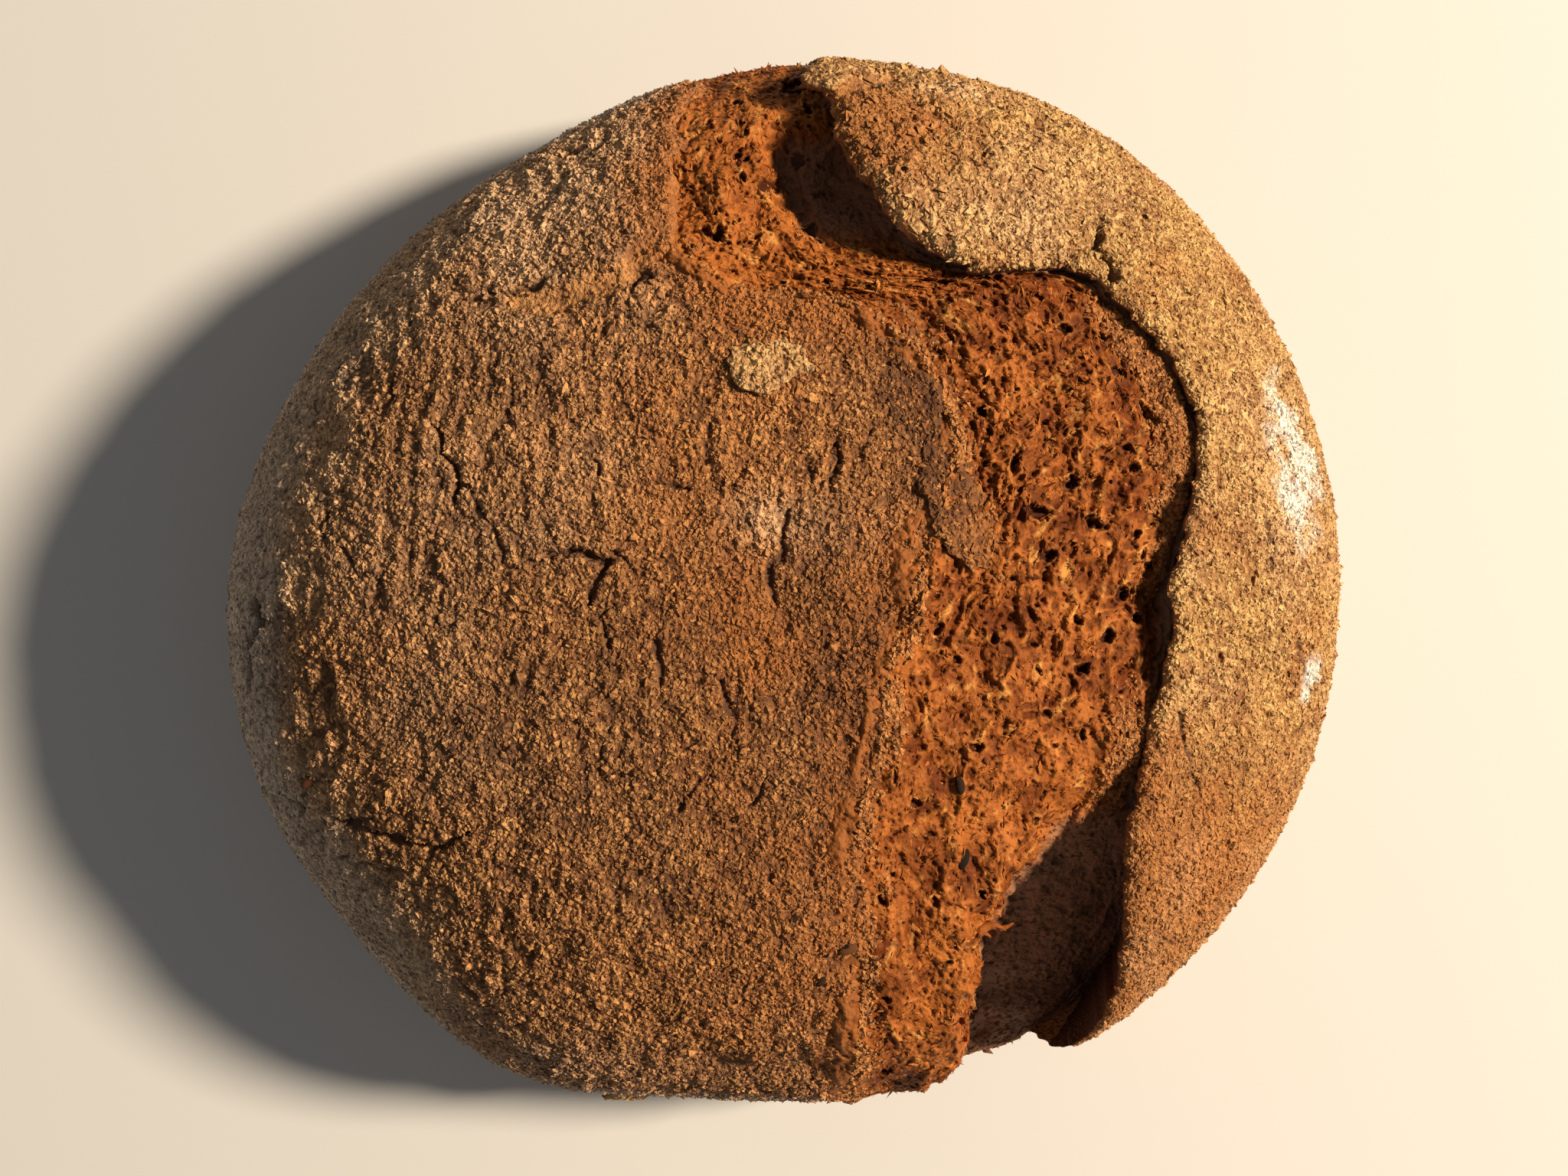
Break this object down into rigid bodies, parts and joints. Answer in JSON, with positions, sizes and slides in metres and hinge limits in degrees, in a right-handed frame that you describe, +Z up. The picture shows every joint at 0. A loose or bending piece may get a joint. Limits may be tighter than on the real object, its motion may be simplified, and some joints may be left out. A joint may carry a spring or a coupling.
{
  "type": "multigrain bread loaf",
  "caption": "Round rustic multigrain loaf, burst open along one side, with a domed gritty crust, an overhanging rim round the torn crumb and a flat base.",
  "frame": {"origin": "middle of the loaf's outline at the height of its flat base", "axes": "+Z up from the base, +X towards the burst rim, along the loaf's greatest width"},
  "size_m": [0.2302, 0.2157, 0.0847],
  "materials": {
    "crust": "matte, gritty baked crust"
  },
  "bodies": {
    "root": {"loaf": "crust"}
  },
  "joints": []
}
